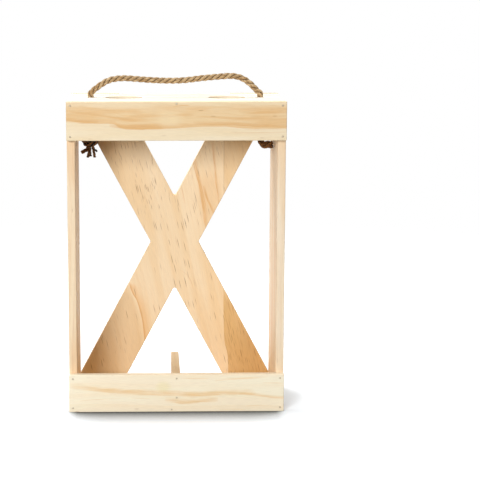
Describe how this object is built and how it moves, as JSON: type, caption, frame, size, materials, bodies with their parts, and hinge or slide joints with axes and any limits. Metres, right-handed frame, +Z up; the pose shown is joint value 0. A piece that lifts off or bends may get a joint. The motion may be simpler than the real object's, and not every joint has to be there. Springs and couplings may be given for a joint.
{
  "type": "wine crate",
  "caption": "Open upright crate of thin pine boards with a crossed back panel, low front rails, bottle neck holes in its top and a knotted rope handle.",
  "frame": {"origin": "under the middle of the crate, on the surface that it stands on", "axes": "+Z up; -Y towards the two low rails; +Y towards the crossed panel; +X to the right as seen from the rails"},
  "size_m": [0.216, 0.112, 0.3363],
  "materials": {
    "pine": "planed and sanded, no varnish",
    "pale_pine": "planed and sanded, no varnish",
    "jute": "three-strand laid rope with loose fibres",
    "nail_steel": "bright brad nails, slightly dull"
  },
  "bodies": {
    "crate": {"top_panel": "pale_pine", "bottom_panel": "pine", "side_board_left": "pine", "side_board_right": "pine", "top_rail": "pine", "bottom_rail": "pale_pine", "crossed_panel": "pale_pine", "divider": "pine", "nail_top_rail_centre": "nail_steel", "nail_top_rail_left_high": "nail_steel", "nail_top_rail_left_low": "nail_steel", "nail_top_rail_right_high": "nail_steel", "nail_top_rail_right_low": "nail_steel", "nail_bottom_rail_divider_high": "nail_steel", "nail_bottom_rail_divider_low": "nail_steel", "nail_bottom_rail_foot": "nail_steel", "nail_bottom_rail_left_high": "nail_steel", "nail_bottom_rail_left_low": "nail_steel", "nail_bottom_rail_right_high": "nail_steel", "nail_bottom_rail_right_low": "nail_steel", "nail_arm_top_left_1": "nail_steel", "nail_arm_top_left_2": "nail_steel", "nail_arm_top_left_3": "nail_steel", "nail_arm_top_right_1": "nail_steel", "nail_arm_top_right_2": "nail_steel", "nail_arm_top_right_3": "nail_steel", "nail_arm_bottom_left_1": "nail_steel", "nail_arm_bottom_left_2": "nail_steel", "nail_arm_bottom_left_3": "nail_steel", "nail_arm_bottom_right_1": "nail_steel", "nail_arm_bottom_right_2": "nail_steel", "nail_arm_bottom_right_3": "nail_steel", "nail_top_panel_left_front": "nail_steel", "nail_top_panel_left_back": "nail_steel", "nail_top_panel_right_front": "nail_steel", "nail_top_panel_right_back": "nail_steel", "nail_bottom_panel_left_front": "nail_steel", "nail_bottom_panel_left_back": "nail_steel", "nail_bottom_panel_right_front": "nail_steel", "nail_bottom_panel_right_back": "nail_steel", "nail_divider_front": "nail_steel", "nail_divider_back": "nail_steel"},
    "rope_ends": {"rope_end_left": "jute", "rope_end_right": "jute", "knot_left": "jute", "knot_right": "jute", "tail_right": "jute", "tail_left_1": "jute", "tail_left_2": "jute", "tail_left_3": "jute", "tail_left_4": "jute", "tail_left_5": "jute"},
    "handle": {"rope_handle": "jute"}
  },
  "joints": [
    {"name": "handle_lift", "type": "slide", "parent": "crate", "child": "rope_ends", "axis": [0, 0, 1], "range_m": [0, 0.0165]},
    {"name": "handle_swing", "type": "hinge", "parent": "rope_ends", "child": "handle", "pos_m": [0, 0, 0.3153], "axis": [1, 0, 0], "range_deg": [-75, 75]}
  ]
}
